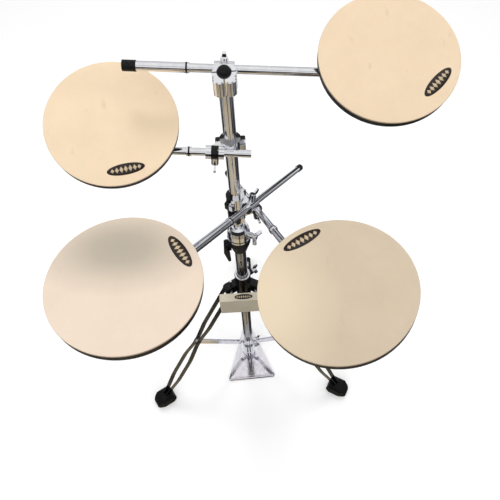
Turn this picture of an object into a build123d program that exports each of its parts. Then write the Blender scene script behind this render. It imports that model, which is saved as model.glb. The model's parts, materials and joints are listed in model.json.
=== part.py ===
from build123d import *
import os

# Practice pad set on a double-braced tripod stand: four round pads on rods
# clamped to a telescoping post, a block for the bass pedal, and a floor
# plate that the pedal clips to.
# Millimetres, +Z up. The origin is on the post's axis, at floor level.
# The player sits on the -Y side.

# --- driving dimensions ------------------------------------------------------
FIT = 0.05                    # radial clearance of every running fit
GAP = 0.3                     # clearance between faces that pass each other

BASE_TUBE_R, BASE_TUBE_BORE_R = 12.7, 11.5
BASE_TUBE_Z = (4.0, 590.0)
POST_R, POST_BORE_R = 10.9, 9.5
POST_Z = (300.0, 1016.0)
ROD_R = 6.35
SLEEVE_R = 7.2                # the thick part of two of the rods
STOP_R, STOP_HALF = 7.7, 4.0
ROD_END_SEAT, ROD_END_L = 6.5, 26.0

PAD_R = 101.6                 # 8 inch practice pads
PAD_RUBBER_T = 4.0
PAD_BASE_T, PAD_BASE_INSET = 12.0, 0.5
FLANGE_R, FLANGE_T = 27.0, 3.0

LEG_AZIMUTHS = {"left": 210.0, "right": 330.0, "rear": 90.0}
LEG_PIVOT = (40.0, 420.0)     # radius from the post's axis, and height
LEG_KNEE = (150.0, 247.0)     # where the brace meets the leg
LEG_LENGTH = 475.0
STRAP_W, STRAP_T = 14.0, 2.4
STRAP_BEND_R = 150.0
LEG_PIN_R = 3.0
BRACE_PIVOT = (27.0, 78.0)
BRACE_W, BRACE_T, BRACE_HALF = 12.0, 1.5, 3.6
BRACE_PIN_R = 2.5
HUB_Z = (395.0, 450.0)
HUB_R, HUB_BOLT_Z = 19.0, 441.0
HUB_PLAY = 0.7                # loose sliding fit that the hub's wing bolt takes up

PLATE_T = 4.0
PLATE_HALF_FRONT, PLATE_HALF_APEX = 71.0, 9.0
PLATE_FRONT_Y, PLATE_APEX_Y = -102.0, 75.0
PLATE_BOLT_Z = 26.0
PLATE_TURN = 2.4              # the plate is turned a little on the post

BASS_PAD = (112.0, 22.0, 59.0)
BASS_PAD_CENTRE = (0.0, -57.3, 416.0)
BASS_CLAMP_Z, BACKPLATE_Z, BACKPLATE_T = 366.0, 392.0, 2.6
BOLT_AZIMUTH = 30.0           # the hub, bass and plate bolts point between legs

HEIGHT_CLAMP_Z = (564.0, 610.0)
LEVER_X, LEVER_Z = -28.0, 577.0
MEMORY_BOLT_Z, MEMORY_BOLT_AZIMUTH = 625.0, -25.0

CLAMP_R, CLAMP_H = 17.0, 28.0
SPLIT = 1.2                   # gap between the two halves of a post clamp
BOLT_R = 3.9

# Each arm: where its rod passes the post, the rod's direction towards its
# free end, both rod ends, its stop collar and its clamp block as distances
# from there, the side its wing bolt is on, and its pad's face.
ARMS = {
    "upper_left": {
        "pass": (0.0, -20.0, 876.0), "along": (99.0, -5.0, -9.0),
        "pad_end": -178.0, "free_end": 33.0, "stop": -68.0, "block": -26.0, "bolt_side": -1,
        "pad": (-177.0, -9.0, 946.0), "normal": (0.107, -0.380, 0.919),
    },
    "upper_right": {
        "pass": (0.0, 23.8, 1004.3), "along": (-387.0, 22.0, 27.5),
        "pad_end": -241.0, "free_end": 146.0, "stop": 55.0, "block": 0.0, "bolt_side": 1,
        "pad": (236.0, 11.0, 1019.0), "normal": (0.0, -0.380, 0.925),
    },
    "lower_left": {
        "pass": (27.3, -18.1, 732.2), "along": (149.0, 225.0, -124.0),
        "pad_end": -337.0, "free_end": 229.0, "stop": -77.0, "block": 0.0, "bolt_side": 1,
        "pad": (-142.0, -273.0, 918.0), "normal": (0.049, -0.006, 1.0),
    },
    "lower_right": {
        "pass": (35.7, 10.6, 692.0), "along": (-85.6, 289.3, -165.0),
        "pad_end": -366.0, "free_end": 222.0, "stop": -116.0, "block": 0.0, "bolt_side": -1,
        "pad": (127.0, -298.0, 913.0), "normal": (-0.160, -0.040, 0.986),
    },
}

BOTTOM = (Align.CENTER, Align.CENTER, Align.MIN)


# --- helpers -----------------------------------------------------------------
def turned(shape, azimuth):
    """The shape turned about the post's axis."""
    return Rot(0, 0, azimuth) * shape


def bar(start, end, radius):
    """A round bar from one point to another."""
    axis = Vector(*end) - Vector(*start)
    plane = Plane(origin=Vector(*start), z_dir=axis)
    return plane.location * Cylinder(radius, axis.length, align=BOTTOM)


def pipe(radius, bore, low, high):
    """A vertical tube on the post's axis."""
    outside = Pos(0, 0, low) * Cylinder(radius, high - low, align=BOTTOM)
    inside = Pos(0, 0, low - 1) * Cylinder(bore, high - low + 2, align=BOTTOM)
    return outside - inside


def wing_bolt(shank, wing=15.0):
    """A wing bolt with its shank down -Z and its boss's seat at z = 0."""
    wing_t, boss_r, boss_h = 3.6, 6.4, 11.0
    boss = Cylinder(boss_r, boss_h, align=BOTTOM)
    boss = chamfer(boss.edges().group_by(Axis.Z)[-1], 1.2)
    outline = make_hull((
        Pos(3.0, 6.0) * Circle(4.0) + Pos(wing, 11.5) * Circle(4.4)
    ).edges())
    lobe = extrude(Plane.XZ.location * outline, wing_t / 2, both=True)
    bolt = boss + lobe + Rot(0, 0, 180) * lobe
    return bolt + Pos(0, 0, -shank) * Cylinder(BOLT_R, shank + 1, align=BOTTOM)


def key_bolt(shank):
    """A bolt with a small square head for a drum key, seated like a wing bolt."""
    head = Cylinder(5.6, 5, align=BOTTOM) + Pos(0, 0, 4) * Box(6, 6, 8, align=BOTTOM)
    return head + Pos(0, 0, -shank) * Cylinder(BOLT_R, shank + 1, align=BOTTOM)


# --- floor plate and post ----------------------------------------------------
def pedal_plate():
    """Triangular floor plate with a rolled lip that the pedal clips to."""
    flat = make_face(Polyline(
        (-PLATE_HALF_FRONT, PLATE_FRONT_Y), (PLATE_HALF_FRONT, PLATE_FRONT_Y),
        (PLATE_HALF_APEX, PLATE_APEX_Y), (-PLATE_HALF_APEX, PLATE_APEX_Y),
        close=True,
    ))
    flat = fillet(flat.vertices(), 6)
    plate = extrude(flat, PLATE_T)
    lip = Pos(0, PLATE_FRONT_Y + 3.4, 3.4) * Rot(0, 90, 0) * Cylinder(3.4, 2 * PLATE_HALF_FRONT - 12)
    step = Pos(0, PLATE_FRONT_Y + 11.5, PLATE_T) * Box(2 * PLATE_HALF_FRONT - 18, 4, 1.6, align=BOTTOM)
    return turned(plate + lip + step, PLATE_TURN)


def plate_socket():
    """Flanged socket that holds the base tube on the plate."""
    flange = Pos(0, 0, PLATE_T) * Box(46, 40, 3, align=BOTTOM)
    flange = fillet(flange.edges().filter_by(Axis.Z), 8)
    cup = Pos(0, 0, PLATE_T) * Cylinder(17.5, 33, align=BOTTOM)
    boss = turned(bar((14, 0, PLATE_BOLT_Z), (24, 0, PLATE_BOLT_Z), 7), BOLT_AZIMUTH)
    rivets = [Pos(x, y, PLATE_T + 3) * Cylinder(3, 1.4, align=BOTTOM) for x in (-18, 18) for y in (-14, 14)]
    socket = flange + cup + boss + rivets
    socket -= Pos(0, 0, PLATE_T) * Cylinder(BASE_TUBE_R, 40, align=BOTTOM)
    hole = bar((10, 0, PLATE_BOLT_Z), (25, 0, PLATE_BOLT_Z), BOLT_R + FIT)
    return socket - turned(hole, BOLT_AZIMUTH)


def base_tube():
    return pipe(BASE_TUBE_R, BASE_TUBE_BORE_R, *BASE_TUBE_Z)


def lower_collar():
    """Collar with three ears and headed pins that the braces hinge on."""
    radius, height = BRACE_PIVOT
    head_r, head_t, ear_t = 4.6, 2.0, 3.6
    collar = pipe(19.0, BASE_TUBE_R, height - 14, height + 12)
    for azimuth in LEG_AZIMUTHS.values():
        ear = Pos(radius - 5, 0, height) * Box(20, ear_t, 18)
        ear = fillet(ear.edges().filter_by(Axis.Y).group_by(Axis.X)[-1], 7)
        ear += bar((radius, -BRACE_HALF - GAP, height), (radius, BRACE_HALF + GAP, height), BRACE_PIN_R)
        for side in (-1, 1):
            near, far = side * (BRACE_HALF + GAP), side * (BRACE_HALF + GAP + head_t)
            ear += bar((radius, near, height), (radius, far, height), head_r)
        collar += turned(ear, azimuth)
    return collar - Pos(0, 0, height - 20) * Cylinder(BASE_TUBE_R, 40, align=BOTTOM)


def height_clamp():
    """Split nylon-lined clamp on the base tube's top, with a lug on its left."""
    (low, high), seat = HEIGHT_CLAMP_Z, BASE_TUBE_Z[1]
    neck_r, rim_r, taper_h = 16.0, 24.0, 30.0
    lug = Pos(LEVER_X + 2, 0, LEVER_Z) * Box(16, 16, 18)
    slot = Pos(LEVER_X + 2, 0, LEVER_Z) * Box(18, 2, 30)
    body = Pos(0, 0, low) * Cone(neck_r, rim_r, taper_h, align=BOTTOM)
    body += Pos(0, 0, low + taper_h) * Cylinder(rim_r, high - low - taper_h, align=BOTTOM)
    body = fillet(body.edges().group_by(Axis.Z)[-1], 2) + lug
    body -= Pos(0, 0, low - 1) * Cylinder(BASE_TUBE_R, seat - low + 1, align=BOTTOM)
    body -= Pos(0, 0, seat) * Cylinder(POST_R + FIT, 40, align=BOTTOM)
    return body - slot - bar((LEVER_X, -20, LEVER_Z), (LEVER_X, 20, LEVER_Z), BOLT_R + FIT)


def height_lever():
    """Clamping lever: a cross bolt with a flat handle that hangs down."""
    def across(low, high, radius):
        return bar((LEVER_X, low, LEVER_Z), (LEVER_X, high, LEVER_Z), radius)

    outline = make_hull((Circle(6.5) + Pos(4, -33) * Circle(3.2)).edges())
    front = Plane(origin=(LEVER_X, -14, LEVER_Z), x_dir=(1, 0, 0), z_dir=(0, -1, 0))
    handle = extrude(front.location * outline, 5)
    return across(-12, 9, BOLT_R) + across(8 + GAP, 12, 6) + across(-14, -8 - GAP, 6.5) + handle


def post():
    return pipe(POST_R, POST_BORE_R, *POST_Z)


def post_cap():
    """Ball-topped plug in the post's end."""
    top = POST_Z[1]
    ball = Pos(0, 0, top) * Sphere(POST_R) & Pos(0, 0, top) * Box(40, 40, 40, align=BOTTOM)
    return ball + Pos(0, 0, top - 12) * Cylinder(POST_BORE_R, 12.5, align=BOTTOM)


def memory_lock():
    """Bell-shaped stop collar that sets the post's height."""
    low, bolt_z = HEIGHT_CLAMP_Z[1] + GAP, MEMORY_BOLT_Z
    profile = Polyline(
        (0, 0), (25, 0), (25, 5), (24, 7), (23.6, 20), (22, 30), (19, 38),
        (15, 43), (13, 44.5), (0, 44.5), close=True,
    )
    bell = revolve(Pos(0, 0, low) * Plane.XZ.location * make_face(profile), Axis.Z)
    bell += turned(bar((10, 0, bolt_z), (30, 0, bolt_z), 7), MEMORY_BOLT_AZIMUTH)
    bell -= Pos(0, 0, low - 10) * Cylinder(POST_R, 100, align=BOTTOM)
    return bell - turned(bar((0, 0, bolt_z), (40, 0, bolt_z), BOLT_R + FIT), MEMORY_BOLT_AZIMUTH)


# --- tripod ------------------------------------------------------------------
def leg_hub():
    """Casting that slides on the base tube and carries the three legs."""
    radius, height = LEG_PIVOT
    lug_w, lug_h, bolt_z = 18.6, 30.0, HUB_BOLT_Z
    bore_r = BASE_TUBE_R + HUB_PLAY
    hub = pipe(HUB_R, bore_r, *HUB_Z)
    for azimuth in LEG_AZIMUTHS.values():
        lug = Pos(radius - 9, 0, height) * Box(40, lug_w, lug_h)
        lug = fillet(lug.edges().filter_by(Axis.Y).group_by(Axis.X)[-1], 9)
        lug -= bar((radius, -20, height), (radius, 20, height), LEG_PIN_R)
        hub += turned(lug, azimuth)
    hub += turned(bar((15, 0, bolt_z), (26, 0, bolt_z), 7), BOLT_AZIMUTH)
    hub -= Pos(0, 0, HUB_Z[0] - 10) * Cylinder(bore_r, 90, align=BOTTOM)
    return hub - turned(bar((13, 0, bolt_z), (27, 0, bolt_z), BOLT_R + FIT), BOLT_AZIMUTH)


def leg_pins():
    """The three headed pins that the legs hinge on."""
    radius, height = LEG_PIVOT
    half = 12.5
    pins = []
    for azimuth in LEG_AZIMUTHS.values():
        pin = bar((radius, -half - 1, height), (radius, half + 1, height), LEG_PIN_R)
        for side in (-1, 1):
            pin += bar((radius, side * half, height), (radius, side * (half + 2.5), height), 5)
        pins.append(turned(pin, azimuth))
    return Compound(children=pins)


def leg_plane():
    """Plane of a leg: x runs down the leg from its pivot, y across it."""
    (r0, z0), (r1, z1) = LEG_PIVOT, LEG_KNEE
    along = Vector(r1 - r0, 0, z1 - z0)
    return Plane(origin=(r0, 0, z0), x_dir=along, z_dir=along.cross(Vector(0, 1, 0)))


def knee_distance():
    (r0, z0), (r1, z1) = LEG_PIVOT, LEG_KNEE
    return Vector(r1 - r0, 0, z1 - z0).length


def leg_strap(side):
    """One bowed strap: out at the hub, pinched at the knee, bowed below."""
    knee = knee_distance()
    middle = (
        (-9, 10.8), (knee - 62, 10.8), (knee - 14, 5.4), (knee + 14, 5.4),
        (knee + 72, 13), (knee + 165, 13), (LEG_LENGTH - 42, 6.2), (LEG_LENGTH, 5),
    )
    outer, inner = (
        FilletPolyline(*[(s, side * (y + half)) for s, y in middle], radius=STRAP_BEND_R)
        for half in (STRAP_T / 2, -STRAP_T / 2)
    )
    edges = Curve() + [outer, Line(outer @ 1, inner @ 1), inner, Line(inner @ 0, outer @ 0)]
    strap = extrude(make_face(edges), STRAP_W / 2, both=True)
    strap = fillet(strap.edges().filter_by(Axis.Y).group_by(Axis.X)[0], STRAP_W / 2 - 0.5)
    strap += Pos(knee, side * 6.6, 0) * Rot(90, 0, 0) * Cylinder(5.5, 3.4)
    return strap - Rot(90, 0, 0) * Cylinder(LEG_PIN_R + FIT, 60)


def leg_straps(azimuth):
    """Both straps, riveted together where they enter the foot."""
    rivet = Pos(LEG_LENGTH - 12, 0, 0) * Rot(90, 0, 0) * Cylinder(4, 12.6)
    pair = leg_strap(1) + leg_strap(-1) + rivet
    return turned(leg_plane().location * pair, azimuth)


def foot(azimuth):
    """Rubber foot: a faceted wedge, widest in the middle, with a pocket for the straps."""
    side = make_face(Polyline(
        (263, 5), (267, 0), (318, 0), (322, 6), (317, 22), (303, 36), (284, 43),
        (268, 34), close=True,
    ))
    plan = make_face(Polyline(
        (255, -12), (274, -21), (304, -21), (324, -12), (324, 12), (304, 21),
        (274, 21), (255, 12), close=True,
    ))
    body = extrude(Plane.XZ.location * side, 30, both=True) & extrude(plan, 60)
    body -= [Pos(294, s * 24, 44) * Rot(s * 38, 0, 0) * Box(90, 20, 40) for s in (-1, 1)]
    pocket = leg_plane().location * Pos(LEG_LENGTH - 60, 0, 0) * Box(
        60.3, 15.8, STRAP_W + 0.2, align=(Align.MIN, Align.CENTER, Align.CENTER))
    return turned(body - pocket, azimuth)


def brace(azimuth):
    """Twin flat bars joined by a spacer; the upper end lies in the leg's knee."""
    (r0, z0), (r1, z1) = BRACE_PIVOT, LEG_KNEE
    along = Vector(r1 - r0, 0, z1 - z0)
    plane = Plane(origin=(r0, 0, z0), x_dir=along, z_dir=along.cross(Vector(0, 1, 0)))
    length = along.length
    flat = Pos(length / 2, 0, 0) * Box(length + BRACE_W, BRACE_T, BRACE_W)
    flat = fillet(flat.edges().filter_by(Axis.Y), BRACE_W / 2 - 0.1)
    offset = BRACE_HALF - BRACE_T / 2
    pair = Pos(0, offset, 0) * flat + Pos(0, -offset, 0) * flat
    for place in (length * 0.5, length):
        pair += Pos(place, 0, 0) * Rot(90, 0, 0) * Cylinder(3.2, 2 * BRACE_HALF)
    pair -= Rot(90, 0, 0) * Cylinder(BRACE_PIN_R + FIT, 30)
    return turned(plane.location * pair, azimuth)


# --- bass pad ----------------------------------------------------------------
def bass_pad_block():
    block = Pos(*BASS_PAD_CENTRE) * Box(*BASS_PAD)
    return fillet(block.edges(), 2.5)


def bass_pad_backplate():
    y = BASS_PAD_CENTRE[1] + BASS_PAD[1] / 2
    plate = Pos(0, y, BACKPLATE_Z) * Box(68, BACKPLATE_T, 70, align=(Align.CENTER, Align.MIN, Align.CENTER))
    return fillet(plate.edges().filter_by(Axis.Y), 8)


def bass_pad_clamp():
    """Clamp on the base tube with a neck out to the back plate."""
    z, back = BASS_CLAMP_Z, BASS_PAD_CENTRE[1] + BASS_PAD[1] / 2 + BACKPLATE_T
    clamp = pipe(18, BASE_TUBE_R, z - 12, z + 12)
    neck = Pos(0, back, z) * Box(16, 28, 18, align=(Align.CENTER, Align.MIN, Align.CENTER))
    boss = turned(bar((15, 0, z), (24, 0, z), 7), BOLT_AZIMUTH)
    clamp = clamp + neck + boss
    clamp -= Pos(0, 0, z) * Cylinder(BASE_TUBE_R, 40)
    return clamp - turned(bar((12, 0, z), (25, 0, z), BOLT_R + FIT), BOLT_AZIMUTH)


# --- arms --------------------------------------------------------------------
def arm_frame(arm):
    """The rod's passing point and unit direction, and the way out to it."""
    passing = Vector(*arm["pass"])
    along = Vector(*arm["along"]).normalized()
    outward = Vector(passing.X, passing.Y, 0).normalized()
    return passing, along, outward


def post_plane(arm):
    """Plane across the post at the clamp, with x towards the rod."""
    passing, _, outward = arm_frame(arm)
    return Plane(origin=(0, 0, passing.Z), x_dir=outward, z_dir=(0, 0, 1))


def clamp_body(name, arm):
    """Front half of a post clamp with the block that the rod slides in."""
    passing, along, outward = arm_frame(arm)
    centre = passing + along * arm["block"]
    middle = Vector(0, 0, passing.Z)
    half = Cylinder(CLAMP_R, CLAMP_H)
    ears = Pos(3.6 + SPLIT / 2, 0, 0) * Box(7, 36 if name == "upper_right" else 50, 19)
    ears = fillet(ears.edges().filter_by(Axis.X), 3)
    front = Pos(SPLIT / 2, 0, 0) * Box(60, 80, 60, align=(Align.MIN, Align.CENTER, Align.CENTER))
    half = post_plane(arm).location * ((half + ears) & front)
    reach = centre - middle
    web = Plane(origin=middle, z_dir=reach).location * Box(16, 20, reach.length, align=BOTTOM)
    web &= post_plane(arm).location * front
    block = bar(centre - along * 15, centre + along * 15, 11)
    seat = bar(centre, centre + bolt_direction(arm) * 15, 6.6)
    body = half + web + block + seat
    body -= Pos(0, 0, passing.Z) * Cylinder(POST_R + FIT, 120)
    body -= bar(centre - along * 60, centre + along * 60, ROD_R + FIT)
    return body - bar(centre, centre + bolt_direction(arm) * 30, BOLT_R + FIT)


def bolt_direction(arm):
    """The way a rod's wing bolt points: up or down, square to the rod."""
    _, along, _ = arm_frame(arm)
    up = Vector(0, 0, arm["bolt_side"])
    return (up - along * along.dot(up)).normalized()


def clamp_jaw(name, arm):
    """Back half of a post clamp; the top clamp has two round lobes and a slot in place of ears."""
    height = CLAMP_H - 2
    half = Cylinder(CLAMP_R + 1, height)
    if name == "upper_right":
        lobe = chamfer(Cylinder(9.5, height).edges(), 1.5)
        half += Pos(-15, 7.5, 0) * lobe + Pos(-15, -7.5, 0) * lobe
        half -= Pos(-24, 0, 0) * Box(16, 2.4, 40)
    else:
        ears = Pos(-4.1 - SPLIT / 2, 0, 0) * Box(8, 50, 19)
        half += fillet(ears.edges().filter_by(Axis.X), 3)
    back = Pos(-SPLIT / 2, 0, 0) * Box(60, 80, 60, align=(Align.MAX, Align.CENTER, Align.CENTER))
    half = post_plane(arm).location * (half & back)
    return half - Pos(0, 0, arm_frame(arm)[0].Z) * Cylinder(POST_R + FIT, 120)


def clamp_bolt(name, arm):
    """Bolt that presses on the rod: a key bolt on the top clamp, a wing bolt on the others."""
    passing, along, _ = arm_frame(arm)
    direction = bolt_direction(arm)
    seat = passing + along * arm["block"] + direction * (15 + GAP)
    wings = direction.cross(along) if is_upper(name) else along
    plane = Plane(origin=seat, x_dir=wings, z_dir=direction)
    shank = 15 - ROD_R
    return plane.location * (key_bolt(shank) if name == "upper_right" else wing_bolt(shank))


def rod_ends(arm):
    passing, along, _ = arm_frame(arm)
    return passing + along * arm["pad_end"], passing + along * arm["free_end"]


def is_upper(name):
    return name.startswith("upper")


def rod(name, arm):
    """Plain rod with its stop collar, which ends a thicker sleeve on two arms."""
    passing, along, _ = arm_frame(arm)
    pad_end, free_end = rod_ends(arm)
    stop = passing + along * arm["stop"]
    start = pad_end - along * 14 if is_upper(name) else pad_end + along * ROD_END_SEAT
    collar = bar(stop - along * STOP_HALF, stop + along * STOP_HALF, STOP_R)
    if name == "upper_right":
        collar += bar(stop, free_end, SLEEVE_R)
    if name == "lower_left":
        collar += bar(stop, pad_end + along * (ROD_END_L + GAP), SLEEVE_R)
    collar -= bar(pad_end, free_end + along * 10, ROD_R)
    return Compound(children=[bar(start, free_end, ROD_R), collar])


def rod_end(name, arm):
    """Eye on the pad end of a lower rod, which the pad's clevis hinges on."""
    _, along, _ = arm_frame(arm)
    pad_end, _ = rod_ends(arm)
    eye = tilt_plane(name, arm).location * Cylinder(8.5, 15)
    neck = bar(pad_end, pad_end + along * ROD_END_L, 7.4)
    shape = eye + neck - tilt_plane(name, arm).location * Cylinder(4 + FIT, 30)
    return shape - bar(pad_end + along * ROD_END_SEAT, pad_end + along * 40, ROD_R)


def rod_cap(name, arm):
    """Black cap over the rod's free end."""
    _, along, _ = arm_frame(arm)
    _, end = rod_ends(arm)
    inner, length = (SLEEVE_R, 18) if name == "upper_right" else (ROD_R, 11)
    cap = bar(end - along * length, end + along * 2, inner + 0.9)
    return cap - bar(end - along * (length + 8), end, inner)


def pad_plane(arm, depth):
    """Plane parallel to a pad, a depth below its playing face."""
    normal = Vector(*arm["normal"]).normalized()
    return Plane(origin=Vector(*arm["pad"]) - normal * depth, z_dir=normal)


def tilt_plane(name, arm):
    """Plane square to the pad's tilt axis, through the rod's pad end."""
    _, along, _ = arm_frame(arm)
    normal = Vector(*arm["normal"]).normalized()
    pad_end, _ = rod_ends(arm)
    axis = along if is_upper(name) else along.cross(normal).normalized()
    across = normal.cross(axis).normalized()
    return Plane(origin=pad_end, x_dir=across, z_dir=axis)


def pad_rubber(arm):
    disc = pad_plane(arm, PAD_RUBBER_T).location * Cylinder(PAD_R, PAD_RUBBER_T, align=BOTTOM)
    return fillet(disc.edges(), 1.5)


def pad_base(arm):
    depth = PAD_RUBBER_T + PAD_BASE_T
    disc = Cylinder(PAD_R - PAD_BASE_INSET, PAD_BASE_T, align=BOTTOM)
    disc = chamfer(disc.edges().group_by(Axis.Z)[0], 2)
    return pad_plane(arm, depth).location * disc


def pad_bracket(name, arm):
    """Flange under the pad, with a saddle on the rod or a clevis at its eye."""
    depth = PAD_RUBBER_T + PAD_BASE_T + FLANGE_T
    flange = pad_plane(arm, depth).location * Cylinder(FLANGE_R, FLANGE_T, align=BOTTOM)
    plane = tilt_plane(name, arm)
    foot_point = plane.to_local_coords(pad_plane(arm, depth - 0.5).origin)
    x, y = foot_point.X, foot_point.Y
    top = Pos(x, y - 1.0) * Rectangle(26, 2)
    boss_r = 11.0 if is_upper(name) else 9.0
    outline = make_hull((Circle(boss_r) + top).edges())
    if is_upper(name):
        holder = extrude(outline, 13, both=True) - Cylinder(ROD_R + FIT, 60)
    else:
        cheek = extrude(outline, 4)
        holder = Pos(0, 0, 7.5 + GAP) * cheek + Pos(0, 0, -11.5 - GAP) * cheek
        holder += Cylinder(4, 26)
    return flange + plane.location * holder


# --- assembly ----------------------------------------------------------------
def radial_bolt(start, height, bore_end, wings=(0, 0, 1)):
    """Wing bolt that points straight out of a tube, with its wings along a direction."""
    bolt = wing_bolt(start - bore_end)
    plane = Plane(origin=(start, 0, height), x_dir=wings, z_dir=(1, 0, 0))
    return plane.location * bolt


def nodes():
    shapes = {
        "pedal_plate": pedal_plate(),
        "plate_socket": plate_socket(),
        "plate_bolt": turned(radial_bolt(24 + GAP, PLATE_BOLT_Z, BASE_TUBE_R + GAP), BOLT_AZIMUTH),
        "base_tube": base_tube(),
        "lower_collar": lower_collar(),
        "height_clamp": height_clamp(),
        "height_lever": height_lever(),
        "post": post(),
        "post_cap": post_cap(),
        "memory_lock": memory_lock(),
        "memory_lock_bolt": turned(
            radial_bolt(30 + GAP, MEMORY_BOLT_Z, POST_R + GAP, (0, 1, 0)), MEMORY_BOLT_AZIMUTH
        ),
        "leg_hub": leg_hub(),
        "leg_pins": leg_pins(),
        "hub_bolt": turned(radial_bolt(26 + GAP, HUB_BOLT_Z, BASE_TUBE_R + GAP), BOLT_AZIMUTH),
        "bass_pad_block": bass_pad_block(),
        "bass_pad_backplate": bass_pad_backplate(),
        "bass_pad_clamp": bass_pad_clamp(),
        "bass_pad_bolt": turned(radial_bolt(24 + GAP, BASS_CLAMP_Z, BASE_TUBE_R + GAP), BOLT_AZIMUTH),
    }
    for place, azimuth in LEG_AZIMUTHS.items():
        shapes[f"{place}_leg"] = leg_straps(azimuth)
        shapes[f"{place}_foot"] = foot(azimuth)
        shapes[f"{place}_brace"] = brace(azimuth)
    for name, arm in ARMS.items():
        shapes[f"{name}_clamp"] = clamp_body(name, arm)
        shapes[f"{name}_clamp_jaw"] = clamp_jaw(name, arm)
        shapes[f"{name}_clamp_bolt"] = clamp_bolt(name, arm)
        shapes[f"{name}_rod"] = rod(name, arm)
        if not is_upper(name):
            shapes[f"{name}_rod_end"] = rod_end(name, arm)
        if name != "upper_left":
            shapes[f"{name}_rod_cap"] = rod_cap(name, arm)
        shapes[f"{name}_pad_bracket"] = pad_bracket(name, arm)
        shapes[f"{name}_pad_base"] = pad_base(arm)
        shapes[f"{name}_pad"] = pad_rubber(arm)
    return shapes


os.makedirs("parts", exist_ok=True)
for node, shape in nodes().items():
    export_step(shape, f"parts/{node}.step")
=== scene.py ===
import json
import math

import bmesh
import bpy
import numpy as np
from mathutils import Matrix, Vector


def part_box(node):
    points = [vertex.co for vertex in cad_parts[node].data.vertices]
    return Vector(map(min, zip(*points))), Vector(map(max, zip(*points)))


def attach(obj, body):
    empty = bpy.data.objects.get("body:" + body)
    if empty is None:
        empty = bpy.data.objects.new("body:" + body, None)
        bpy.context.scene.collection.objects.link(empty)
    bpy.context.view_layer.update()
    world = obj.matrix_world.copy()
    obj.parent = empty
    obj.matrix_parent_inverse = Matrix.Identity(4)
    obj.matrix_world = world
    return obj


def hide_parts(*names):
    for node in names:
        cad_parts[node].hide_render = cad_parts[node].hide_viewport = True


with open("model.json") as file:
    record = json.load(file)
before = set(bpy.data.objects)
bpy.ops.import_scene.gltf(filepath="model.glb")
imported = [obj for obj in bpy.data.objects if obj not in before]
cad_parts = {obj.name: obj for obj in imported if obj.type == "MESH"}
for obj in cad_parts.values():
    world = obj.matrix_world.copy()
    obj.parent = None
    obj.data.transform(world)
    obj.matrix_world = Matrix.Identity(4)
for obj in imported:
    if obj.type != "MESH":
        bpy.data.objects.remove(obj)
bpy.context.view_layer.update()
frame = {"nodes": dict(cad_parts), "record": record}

NODES = frame["nodes"]
ARMS = ("upper_left", "upper_right", "lower_left", "lower_right")

# How far beside the post's axis each rod passes, and how far along the rod its stop collar sits.
ROD_BESIDE = {
    "upper_left": (0.0, -0.020), "upper_right": (0.0, 0.0238),
    "lower_left": (0.0273, -0.0181), "lower_right": (0.0357, 0.0106),
}
ROD_STOP = {
    "upper_left": -0.068, "upper_right": 0.055, "lower_left": -0.077, "lower_right": -0.116,
}
STOP_BAND_R, STOP_BAND_HALF = 0.00795, 0.0016
BLOCK_BAND_ALONG, BLOCK_BAND_R, BLOCK_BAND_HALF = -0.026, 0.0114, 0.0062

# Each emblem on a pad: its share of the radius, its angle round the pad, and its turn on itself.
PAD_EMBLEMS = {
    "upper_left": (0.766, -74.9, 85.3),
    "upper_right": (0.762, -35.0, 79.6),
    "lower_left": (0.809, 31.3, -90.5),
    "lower_right": (0.827, 114.7, -90.5),
}
PAD_EMBLEM_L, BASS_EMBLEM_L = 0.057, 0.042

CAMERA_PLACE = (0.0214, -0.5973, 1.471)
CAMERA_DOWN, CAMERA_ROLL = 56.95, 3.47      # degrees
CAMERA_LENS, CAMERA_SENSOR = 36, 36         # mm
WORLD_STRENGTH = 0.86
FLOOR_HALF = 12.0
BACKDROP_R, BACKDROP_H = 11.5, 14.0
# Each light: its place, the point it is aimed at, its size in metres and its watts.
LIGHTS = {
    "ceiling": ((-0.15, 1.25, 3.2), (0, 0, 0.8), 0.7, 20),
    "key": ((-1.2, -1.4, 2.6), (0, 0, 0.7), 1.8, 14),
    "fill": ((1.6, -0.6, 2.2), (0, 0, 0.7), 1.4, 6),
}


# --- camera, light and floor -------------------------------------------------
def make_camera():
    """A camera above the player's side, looking down at the set."""
    down, roll = math.radians(CAMERA_DOWN), math.radians(CAMERA_ROLL)
    forward = Vector((0, math.cos(down), -math.sin(down)))
    up = Vector((0, math.sin(down), math.cos(down)))
    look = Matrix((Vector((1, 0, 0)), up, -forward)).transposed().to_4x4()
    data = bpy.data.cameras.new("camera")
    data.lens, data.sensor_width = CAMERA_LENS, CAMERA_SENSOR
    camera = bpy.data.objects.new("camera", data)
    place = Matrix.Translation(CAMERA_PLACE)
    camera.matrix_world = place @ Matrix.Rotation(roll, 4, forward) @ look
    bpy.context.scene.collection.objects.link(camera)
    bpy.context.scene.camera = camera


def area_light(name, place, aim, size, watts):
    """A square soft light that doesn't show in the chrome."""
    data = bpy.data.lights.new(name, "AREA")
    data.shape, data.size, data.energy = "SQUARE", size, watts
    light = bpy.data.objects.new(name, data)
    light.location = place
    light.visible_glossy = False
    light.rotation_euler = (Vector(aim) - Vector(place)).to_track_quat("-Z", "Y").to_euler()
    bpy.context.scene.collection.objects.link(light)


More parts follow.
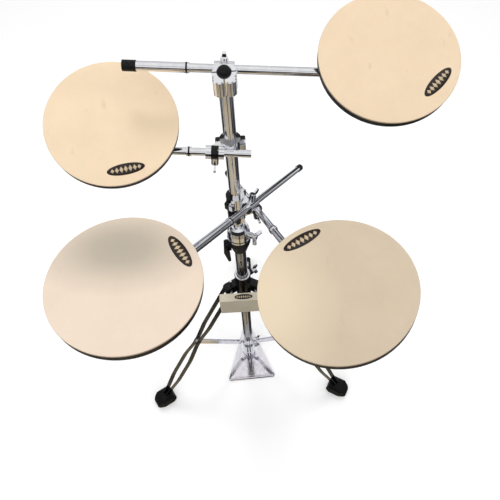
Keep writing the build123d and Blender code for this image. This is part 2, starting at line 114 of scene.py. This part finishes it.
def make_world():
    """What the chrome mirrors: a pale ceiling over walls and floor in light and dark bands."""
    world = bpy.data.worlds.new("studio")
    world.use_nodes = True
    bpy.context.scene.world = world
    tree = world.node_tree
    background = tree.nodes["Background"]
    coords = tree.nodes.new("ShaderNodeTexCoord")
    split = tree.nodes.new("ShaderNodeSeparateXYZ")
    tree.links.new(coords.outputs["Generated"], split.inputs[0])
    height = tree.nodes.new("ShaderNodeMath")
    height.operation = "MULTIPLY_ADD"
    height.inputs[1].default_value, height.inputs[2].default_value = 0.5, 0.5
    tree.links.new(split.outputs["Z"], height.inputs[0])
    around = tree.nodes.new("ShaderNodeTexGradient")
    around.gradient_type = "RADIAL"
    tree.links.new(coords.outputs["Generated"], around.inputs[0])
    dark, grey, cool = (0.03, 0.03, 0.035), (0.3, 0.3, 0.32), (0.62, 0.68, 0.82)
    cream, white = (0.62, 0.52, 0.36), (1.0, 1.0, 1.0)
    ground = ramp(
        tree, around.outputs["Fac"],
        (0.0, dark), (0.03, dark), (0.05, white), (0.07, dark), (0.09, cream), (0.245, cream),
        (0.255, dark), (0.27, dark), (0.285, cream), (0.38, cream), (0.40, dark), (0.47, dark),
        (0.48, grey), (0.49, dark), (0.64, dark), (0.68, white), (0.76, grey), (0.84, white),
        (0.90, dark), (1.0, dark),
    )
    walls = ramp(
        tree, around.outputs["Fac"],
        (0.0, grey), (0.08, dark), (0.40, dark),
        (0.45, cool), (0.50, dark), (0.56, grey), (0.60, white), (0.68, white), (0.70, dark),
        (0.72, dark), (0.74, white), (0.79, cool), (0.80, dark), (0.83, white), (0.90, grey),
        (0.93, dark), (0.96, white), (1.0, grey),
    )
    low = mix(tree, grey_ramp(tree, height.outputs[0], (0.16, 0.0), (0.24, 1.0)), ground, walls)
    high = grey_ramp(
        tree, height.outputs[0],
        (0.50, 0.02), (0.57, 0.05), (0.63, 0.55), (0.69, 1.0), (0.82, 1.0), (0.845, 0.3),
        (0.865, 0.3), (0.89, 0.95), (1.0, 1.0),
    )
    above = grey_ramp(tree, height.outputs[0], (0.49, 0.0), (0.52, 1.0))
    tree.links.new(mix(tree, above, low, high), background.inputs["Color"])
    background.inputs["Strength"].default_value = WORLD_STRENGTH


def make_floor():
    """A plain pale floor with a faint glow of its own."""
    mesh = bpy.data.meshes.new("floor")
    half = FLOOR_HALF
    corners = [(-half, -half, 0), (half, -half, 0), (half, half, 0), (-half, half, 0)]
    mesh.from_pydata(corners, [], [(0, 1, 2, 3)])
    floor = bpy.data.objects.new("floor", mesh)
    bpy.context.scene.collection.objects.link(floor)
    material, _, shader = new_material("floor_paper")
    shader.inputs["Base Color"].default_value = (0.93, 0.93, 0.93, 1)
    shader.inputs["Roughness"].default_value = 0.9
    shader.inputs["Emission Color"].default_value = (1, 1, 1, 1)
    shader.inputs["Emission Strength"].default_value = 0.16
    mesh.materials.append(material)
    floor.visible_glossy = False


def make_backdrop():
    """A pale wall all round, seen by the camera only."""
    bm = bmesh.new()
    segments = 64
    turns = [2 * math.pi * k / segments for k in range(segments)]
    low, high = (
        [bm.verts.new((BACKDROP_R * math.cos(t), BACKDROP_R * math.sin(t), z)) for t in turns]
        for z in (-0.01, BACKDROP_H)
    )
    for k in range(segments):
        n = (k + 1) % segments
        bm.faces.new((low[n], low[k], high[k], high[n]))
    mesh = bpy.data.meshes.new("backdrop")
    bm.to_mesh(mesh)
    bm.free()
    material, _, shader = new_material("backdrop_paper")
    shader.inputs["Base Color"].default_value = (0, 0, 0, 1)
    shader.inputs["Specular IOR Level"].default_value = 0
    shader.inputs["Emission Color"].default_value = (0.97, 0.97, 0.97, 1)
    shader.inputs["Emission Strength"].default_value = 1.0
    mesh.materials.append(material)
    backdrop = bpy.data.objects.new("backdrop", mesh)
    bpy.context.scene.collection.objects.link(backdrop)
    backdrop.visible_diffuse = backdrop.visible_glossy = backdrop.visible_shadow = False


# --- material tools ----------------------------------------------------------
def new_material(name):
    material = bpy.data.materials.new(name)
    material.use_nodes = True
    tree = material.node_tree
    return material, tree, tree.nodes["Principled BSDF"]


def noise(tree, scale, detail=4.0, roughness=0.55, stretch=(1, 1, 1)):
    """Noise over the object's own coordinates. Returns its factor socket."""
    coords = tree.nodes.new("ShaderNodeTexCoord")
    mapping = tree.nodes.new("ShaderNodeMapping")
    mapping.inputs["Scale"].default_value = stretch
    texture = tree.nodes.new("ShaderNodeTexNoise")
    texture.inputs["Scale"].default_value = scale
    texture.inputs["Detail"].default_value = detail
    texture.inputs["Roughness"].default_value = roughness
    tree.links.new(coords.outputs["Object"], mapping.inputs[0])
    tree.links.new(mapping.outputs[0], texture.inputs["Vector"])
    return texture.outputs["Fac"]


def spot(tree, place, size):
    """A soft oval spot round a place in the object's coordinates."""
    coords = tree.nodes.new("ShaderNodeTexCoord")
    mapping = tree.nodes.new("ShaderNodeMapping")
    mapping.vector_type = "TEXTURE"
    mapping.inputs["Location"].default_value = place
    mapping.inputs["Scale"].default_value = size
    gradient = tree.nodes.new("ShaderNodeTexGradient")
    gradient.gradient_type = "SPHERICAL"
    tree.links.new(coords.outputs["Object"], mapping.inputs[0])
    tree.links.new(mapping.outputs[0], gradient.inputs[0])
    stops = (0.0, 0.0), (0.3, 0.35), (0.7, 0.9), (1.0, 1.0)
    return grey_ramp(tree, gradient.outputs["Fac"], *stops)


def ramp(tree, factor, *stops):
    """A colour ramp over a factor: stops are (place, colour)."""
    node = tree.nodes.new("ShaderNodeValToRGB")
    elements = node.color_ramp.elements
    elements[0].position, elements[0].color = stops[0][0], (*stops[0][1], 1)
    elements[1].position, elements[1].color = stops[-1][0], (*stops[-1][1], 1)
    for place, colour in stops[1:-1]:
        elements.new(place).color = (*colour, 1)
    tree.links.new(factor, node.inputs[0])
    return node.outputs["Color"]


def grey_ramp(tree, factor, *stops):
    """A grey ramp over a factor: stops are (place, grey)."""
    return ramp(tree, factor, *[(place, (grey,) * 3) for place, grey in stops])


def mix(tree, factor, first, second):
    """Two colours mixed by a factor socket or number."""
    node = tree.nodes.new("ShaderNodeMix")
    node.data_type, node.blend_type = "RGBA", "MIX"
    sockets = (node.inputs[0], node.inputs[6], node.inputs[7])
    for socket, value in zip(sockets, (factor, first, second)):
        if isinstance(value, bpy.types.NodeSocket):
            tree.links.new(value, socket)
        else:
            socket.default_value = value
    return node.outputs[2]


def bump(tree, shader, height, distance, strength):
    node = tree.nodes.new("ShaderNodeBump")
    node.inputs["Distance"].default_value = distance
    node.inputs["Strength"].default_value = strength
    tree.links.new(height, node.inputs["Height"])
    tree.links.new(node.outputs[0], shader.inputs["Normal"])


# --- materials ---------------------------------------------------------------
def chrome(name="chrome_plate", dull=(0.80, 0.81, 0.85), bright=(0.93, 0.93, 0.95), haze=0.2):
    """Chrome plate with faint smears and a slightly uneven surface."""
    material, tree, shader = new_material(name)
    shader.inputs["Metallic"].default_value = 1.0
    smears = noise(tree, 60, 6, 0.6, (1, 1, 0.25))
    tint = ramp(tree, smears, (0.3, dull), (0.7, bright))
    tree.links.new(tint, shader.inputs["Base Color"])
    gloss = grey_ramp(tree, noise(tree, 90, 5), (0.35, 0.045), (0.62, 0.09), (0.8, haze))
    tree.links.new(gloss, shader.inputs["Roughness"])
    bump(tree, shader, noise(tree, 140, 2), 0.0002, 0.25)
    return material


def black_gloss():
    """Black stove-enamel on cast and pressed metal."""
    material, tree, shader = new_material("black_enamel")
    wear = noise(tree, 300, 6, 0.65)
    tint = ramp(
        tree, wear,
        (0.35, (0.003, 0.003, 0.003)), (0.68, (0.008, 0.008, 0.009)), (0.8, (0.04, 0.04, 0.04)),
    )
    tree.links.new(tint, shader.inputs["Base Color"])
    gloss = grey_ramp(tree, noise(tree, 160, 4), (0.3, 0.18), (0.7, 0.42))
    tree.links.new(gloss, shader.inputs["Roughness"])
    shader.inputs["Specular IOR Level"].default_value = 0.25
    shader.inputs["Coat Weight"].default_value = 0.08
    shader.inputs["Coat Roughness"].default_value = 0.12
    bump(tree, shader, noise(tree, 900, 3), 0.0003, 0.35)
    return material


def black_nylon():
    """Moulded nylon with a fine spark-eroded grain."""
    material, tree, shader = new_material("black_nylon")
    cloud = noise(tree, 240, 5)
    tint = ramp(tree, cloud, (0.3, (0.003, 0.003, 0.003)), (0.75, (0.012, 0.012, 0.013)))
    tree.links.new(tint, shader.inputs["Base Color"])
    gloss = grey_ramp(tree, noise(tree, 420, 4), (0.3, 0.34), (0.7, 0.55))
    tree.links.new(gloss, shader.inputs["Roughness"])
    shader.inputs["Specular IOR Level"].default_value = 0.2
    bump(tree, shader, noise(tree, 2600, 3), 0.0004, 0.4)
    return material


def foot_rubber():
    """Matt black rubber, dusty in its low spots."""
    material, tree, shader = new_material("foot_rubber")
    tint = ramp(
        tree, noise(tree, 70, 8, 0.7),
        (0.35, (0.002, 0.002, 0.002)), (0.65, (0.004, 0.004, 0.004)), (0.85, (0.02, 0.019, 0.018)),
    )
    tree.links.new(tint, shader.inputs["Base Color"])
    gloss = grey_ramp(tree, noise(tree, 200, 4), (0.3, 0.5), (0.7, 0.75))
    tree.links.new(gloss, shader.inputs["Roughness"])
    shader.inputs["Specular IOR Level"].default_value = 0.2
    bump(tree, shader, noise(tree, 1500, 4), 0.0005, 0.5)
    return material


def pad_rubber(name, light, dark, painted_lighting_patch=None):
    """Gum rubber: mottled, dusted, marked by sticks. An optional painted lighting patch is (place,
    size, colour): a soft spot of painted shade or painted light in the rubber's colour.
    """
    material, tree, shader = new_material(name)
    cloud = noise(tree, 18, 6, 0.6)
    tint = ramp(tree, cloud, (0.3, dark), (0.7, light))
    specks = grey_ramp(tree, noise(tree, 700, 3, 0.7), (0.60, 0.0), (0.75, 1.0))
    tint = mix(tree, specks, tint, (*[c * 0.88 for c in dark], 1))
    marks = noise(tree, 55, 3, 0.5, (1, 0.35, 1))
    scuffs = grey_ramp(tree, marks, (0.66, 0.0), (0.76, 0.35))
    tint = mix(tree, scuffs, tint, (*[c * 0.7 for c in dark], 1))
    if painted_lighting_patch:
        # the patch paints shade or light into the colour: a soft darker or lighter spot
        tint = mix(tree, spot(tree, *painted_lighting_patch[:2]), tint, (*painted_lighting_patch[2], 1))
    tree.links.new(tint, shader.inputs["Base Color"])
    gloss = grey_ramp(tree, noise(tree, 120, 5), (0.3, 0.5), (0.7, 0.68))
    tree.links.new(gloss, shader.inputs["Roughness"])
    shader.inputs["Sheen Weight"].default_value = 0.08
    shader.inputs["Subsurface Weight"].default_value = 0.05
    shader.inputs["Subsurface Scale"].default_value = 0.002
    bump(tree, shader, noise(tree, 1100, 5, 0.65), 0.0003, 0.3)
    return material


def emblem_ink(name, dark, light):
    """Printed emblem ink, a little worn."""
    material, tree, shader = new_material(name)
    tint = ramp(tree, noise(tree, 500, 5, 0.7), (0.35, dark), (0.75, light))
    tree.links.new(tint, shader.inputs["Base Color"])
    shader.inputs["Roughness"].default_value = 0.45
    bump(tree, shader, noise(tree, 1200, 3), 0.0001, 0.3)
    return material


def paint_nodes(materials):
    """Every CAD node takes its slot's material; the plate, legs and base tube have their own, the
    legs and base tube in darker chrome whose tint is painted shade standing for dark reflections.
    """
    finish = {
        "chrome": materials["chrome"], "black_metal": materials["black_gloss"],
        "black_nylon": materials["black_nylon"], "foot_rubber": materials["foot_rubber"],
        "pad_base": materials["pad_base"], "pad_rubber": materials["pad_beige"],
    }
    for part in frame["record"]["subparts"]:
        node = NODES[part["node"]]
        node.data.materials.clear()
        own = "leg_plate" if part["node"].endswith("_leg") else part["node"]
        node.data.materials.append(materials.get(own, finish[part["material_slot"]]))


# --- mesh tools --------------------------------------------------------------
def mesh_object(name, bm, material, body):
    """A smooth-shaded piece that rides on a body, with the slot of its finish."""
    bmesh.ops.recalc_face_normals(bm, faces=bm.faces)
    mesh = bpy.data.meshes.new(name)
    bm.to_mesh(mesh)
    bm.free()
    for face in mesh.polygons:
        face.use_smooth = True
    mesh.materials.append(material)
    piece = bpy.data.objects.new(name, mesh)
    bpy.context.scene.collection.objects.link(piece)
    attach(piece, body)
    return piece


def arc(centre_r, centre_z, radius, start, end, count):
    """Points of an arc in a lathe profile, angles in degrees from +r."""
    angles = [math.radians(start + (end - start) * i / count) for i in range(count + 1)]
    return [(centre_r + radius * math.cos(a), centre_z + radius * math.sin(a)) for a in angles]


def lathe(bm, profile, place, segments=96):
    """Turns a closed profile of (radius, height) points about an axis."""
    rings = []
    for radius, height in profile:
        if radius < 1e-7:
            rings.append([bm.verts.new(place @ Vector((0, 0, height)))])
            continue
        rings.append([
            bm.verts.new(place @ Vector((radius * math.cos(t), radius * math.sin(t), height)))
            for t in (2 * math.pi * k / segments for k in range(segments))
        ])
    for low, high in zip(rings, rings[1:]):
        if len(low) == 1 and len(high) == 1:
            continue
        for k in range(segments):
            n = (k + 1) % segments
            corners = [low[k % len(low)], low[n % len(low)]]
            corners += [high[n % len(high)], high[k % len(high)]]
            bm.faces.new(list(dict.fromkeys(corners)))


def points_of(node):
    """A CAD node's vertices, as rows of x, y, z."""
    mesh = NODES[node].data
    co = np.zeros(len(mesh.vertices) * 3)
    mesh.vertices.foreach_get("co", co)
    return co.reshape(-1, 3)


def disc_frame(node):
    """A disc's frame, with its origin in the middle and z up its axis, its radius and thickness."""
    co = np.unique(points_of(node).round(6), axis=0)
    low, high = co.min(0), co.max(0)
    middle = (low + high) / 2
    _, _, axes = np.linalg.svd(co - co.mean(0), full_matrices=False)
    normal = Vector(axes[2])
    if normal.z < 0:
        normal.negate()
    side = Vector((1, 0, 0))
    side = (side - normal * side.dot(normal)).normalized()
    place = Matrix((side, normal.cross(side), normal)).transposed().to_4x4()
    place.translation = Vector(middle)
    local = (co - middle) @ np.array(place.to_3x3())
    radius = float(np.hypot(local[:, 0], local[:, 1]).max())
    return place, radius, float(np.ptp(local[:, 2]))


# --- pads --------------------------------------------------------------------
def pad_face(arm, material, rim):
    """A gum-rubber playing face: rounded rim, painted shade on its side and underside, and a very
    slight crown.
    """
    place, radius, thickness = disc_frame(f"{arm}_pad")
    half, edge, crown = thickness / 2, 0.0012, 0.00025
    profile = [(0.0, half)]
    profile += [(radius * k / 12, half - crown * (k / 12) ** 2) for k in range(1, 12)]
    profile += arc(radius - edge, half - edge - crown, edge, 90, 0, 8)
    profile += arc(radius - edge, -half + edge, edge, 0, -90, 6)
    profile += [(radius * 0.5, -half), (0.0, -half)]
    bm = bmesh.new()
    lathe(bm, profile, place, 160)
    piece = mesh_object(f"{arm}_pad_face", bm, material, f"{arm}_pad")
    piece.data.materials.append(rim)
    up = place.to_3x3().col[2]
    for face in piece.data.polygons:
        # painted shade: faces that don't face up take the darker rubber of the pad's side
        face.material_index = int(face.normal.dot(up) < 0.6)
    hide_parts(f"{arm}_pad")


def prism(bm, place, outline, low, high):
    """A flat plate: an outline of (x, y) points between two heights."""
    rings = [[bm.verts.new(place @ Vector((x, y, z))) for x, y in outline] for z in (low, high)]
    bm.faces.new(rings[0][::-1])
    bm.faces.new(rings[1])
    for k in range(len(outline)):
        n = (k + 1) % len(outline)
        bm.faces.new((rings[0][k], rings[0][n], rings[1][n], rings[1][k]))


def emblem(name, place, length, inks, body):
    """A printed dark oval with a plain row of light diamonds."""
    width, thick = length * 0.316, 0.0003
    turns = [2 * math.pi * k / 64 for k in range(64)]
    oval = [(length / 2 * math.cos(t), width / 2 * math.sin(t)) for t in turns]
    bm = bmesh.new()
    prism(bm, place, oval, 0, thick)
    mesh_object(f"{name}_oval", bm, inks[0], body)
    bm = bmesh.new()
    for k in range(-3, 4):
        x, w = k * 0.118 * length, 0.052 * length
        h = 0.30 * width * (1 - (k / 5) ** 2)
        diamond = [(x - w, 0), (x, -h), (x + w, 0), (x, h)]
        prism(bm, place, diamond, thick * 0.5, thick * 1.4)
    mesh_object(f"{name}_marks", bm, inks[1], body)


def pad_emblem(arm, inks):
    """The emblem near a pad's rim."""
    reach, angle, turn = PAD_EMBLEMS[arm]
    place, radius, thickness = disc_frame(f"{arm}_pad")
    out = Matrix.Rotation(math.radians(angle), 4, "Z")
    spin = Matrix.Rotation(math.radians(turn), 4, "Z")
    shift = Matrix.Translation((radius * reach, 0, thickness / 2 - 0.00034))
    emblem(f"{arm}_emblem", place @ out @ shift @ spin, PAD_EMBLEM_L, inks, f"{arm}_pad")


# --- bass pad ----------------------------------------------------------------
def bass_face(front, top, inks):
    """The bass pad's block: soft rounded edges, sides and underside in darker rubber as painted
    shade, with an emblem on top.
    """
    low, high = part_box("bass_pad_block")
    bm = bmesh.new()
    bmesh.ops.create_cube(bm, size=1.0)
    middle, size = (low + high) / 2, high - low
    for vert in bm.verts:
        vert.co = Vector([at * side for at, side in zip(vert.co, size)]) + middle
    bmesh.ops.bevel(bm, geom=list(bm.edges), offset=0.003, segments=4, affect="EDGES", profile=0.6)
    piece = mesh_object("bass_pad_face", bm, front, "bass_pad")
    piece.data.materials.append(top)
    for face in piece.data.polygons:
        # painted shade: faces that don't point up take the darker copy of the rubber
        face.material_index = int(face.normal.z > 0.6)
    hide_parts("bass_pad_block")
    place = Matrix.Translation((middle.x, middle.y, high.z - 0.00004))
    emblem("bass_emblem", place, BASS_EMBLEM_L, inks, "bass_pad")


# --- small hardware ----------------------------------------------------------
def rod_place(arm, distance):
    """Frame on a rod's axis, a distance from where it passes the post, with z along the rod."""
    joints = {joint["name"]: joint for joint in frame["record"]["behaviour"]["joints"]}
    along = Vector(joints[f"{arm}_slide"]["axis"]).normalized()
    height = joints[f"{arm}_swivel"]["pos_m"][2]
    place = along.to_track_quat("Z", "Y").to_matrix().to_4x4()
    place.translation = Vector((*ROD_BESIDE[arm], height)) + along * distance
    return place


def band(name, place, radius, half, material, body):
    """A band round a rod with rolled edges."""
    edge, inner = 0.0005, radius - 0.0012
    profile = [(inner, -half), (radius - edge, -half), (radius, -half + edge)]
    profile += [(radius, half - edge), (radius - edge, half), (inner, half), (inner, -half)]
    bm = bmesh.new()
    lathe(bm, profile, place, 64)
    mesh_object(name, bm, material, body)


def hub_ring(material):
    """Chrome ring round the tube on top of the leg hub."""
    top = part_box("leg_hub")[1].z
    profile = [(0.0130, -0.001), (0.0185, -0.001)]
    profile += arc(0.0165, 0.0025, 0.002, 0, 90, 6) + arc(0.0145, 0.0030, 0.0015, 90, 180, 6)
    profile += [(0.0130, -0.001)]
    bm = bmesh.new()
    lathe(bm, profile, Matrix.Translation((0, 0, top)), 96)
    mesh_object("hub_ring", bm, material, "leg_hub")


def hub_screw(material):
    """Upright adjusting screw on the hub's left ear."""
    angle, reach = math.radians(210), 0.033
    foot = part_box("leg_hub")[1].z - 0.016
    profile = [(0.0, -0.002), (0.0016, -0.002), (0.0016, 0.012), (0.0030, 0.0125)]
    profile += arc(0.0020, 0.0152, 0.001, 0, 90, 4) + [(0.0, 0.0162)]
    bm = bmesh.new()
    place = Matrix.Translation((reach * math.cos(angle), reach * math.sin(angle), foot))
    lathe(bm, profile, place, 24)
    mesh_object("hub_screw", bm, material, "leg_hub")


# --- the model ---------------------------------------------------------------
def build():
    """Materials first, then the pieces that Blender adds to the CAD nodes."""
    materials = {
        "chrome": chrome(), "black_gloss": black_gloss(), "black_nylon": black_nylon(),
        "foot_rubber": foot_rubber(), "pad_base": black_nylon(),
        "pad_beige": pad_rubber("gum_rubber", (0.84, 0.67, 0.475), (0.79, 0.625, 0.44)),
        "upper_left_pad": pad_rubber("gum_rubber_a", (0.88, 0.70, 0.49), (0.83, 0.655, 0.455)),
        "upper_right_pad": pad_rubber("gum_rubber_b", (0.84, 0.66, 0.465), (0.79, 0.62, 0.43)),
        "lower_left_pad": pad_rubber(
            "gum_rubber_c_painted_shadow", (0.81, 0.67, 0.545), (0.76, 0.63, 0.505),
            # painted shadow: a soft darker grey spot on the pad's rear part, shade painted into the
            # rubber's colour
            ((-0.150, -0.222, 0.918), (0.125, 0.075, 1.0), (0.44, 0.385, 0.31)),
        ),
        "lower_right_pad": pad_rubber(
            # painted shade: this pad's rubber is darker all over than the other pads' rubber
            "gum_rubber_d_painted_shade", (0.62, 0.51, 0.375), (0.575, 0.47, 0.345),
            # painted light: a soft lighter spot at the pad's left side
            ((0.035, -0.30, 0.913), (0.10, 0.13, 1.0), (0.76, 0.63, 0.455)),
        ),
        # painted shade: the bass block's sides and underside in a darker copy of its top's rubber
        "bass_sides_painted_shade": pad_rubber("gum_rubber_e", (0.46, 0.40, 0.29), (0.38, 0.33, 0.24)),
        "bass_top": pad_rubber("gum_rubber_f", (0.70, 0.63, 0.50), (0.64, 0.575, 0.46)),
        # painted shade: the pads' sides in a darker copy of the face rubber
        "pad_side_painted_shade": pad_rubber("gum_rubber_side_painted_shade", (0.42, 0.32, 0.21), (0.34, 0.25, 0.16)),
        "pedal_plate": chrome("plate_chrome", (0.74, 0.71, 0.77), (0.92, 0.90, 0.95), 0.12),
        # painted shade: a near-black chrome tint standing for the dark reflections on the legs
        "leg_plate": chrome("leg_chrome_painted_shade", (0.02, 0.02, 0.021), (0.10, 0.098, 0.10), 0.2),
        # painted shade: a darker chrome tint standing for darker reflections on the base tube
        "base_tube": chrome("tube_chrome_painted_shade", (0.26, 0.26, 0.27), (0.58, 0.58, 0.60), 0.08),
    }
    inks = (
        emblem_ink("emblem_ink_dark", (0.014, 0.009, 0.008), (0.04, 0.026, 0.02)),
        emblem_ink("emblem_ink_light", (0.55, 0.42, 0.27), (0.72, 0.58, 0.4)),
    )
    paint_nodes(materials)
    for arm in ARMS:
        pad_face(arm, materials[f"{arm}_pad"], materials["pad_side_painted_shade"])
    for arm in ARMS:
        pad_emblem(arm, inks)
    bass_face(materials["bass_sides_painted_shade"], materials["bass_top"], inks)
    black = materials["black_gloss"]
    for arm in ARMS:
        place = rod_place(arm, ROD_STOP[arm])
        band(f"{arm}_stop_band", place, STOP_BAND_R, STOP_BAND_HALF, black, f"{arm}_rod")
    place = rod_place("upper_left", BLOCK_BAND_ALONG)
    band(
        "upper_left_block_band", place, BLOCK_BAND_R, BLOCK_BAND_HALF, black, "upper_left_clamp"
    )
    hub_ring(materials["chrome"])
    hub_screw(materials["chrome"])


bpy.context.scene.view_settings.view_transform = "Standard"
make_camera()
make_world()
make_floor()
make_backdrop()
for light_name, light in LIGHTS.items():
    area_light(light_name, *light)
build()
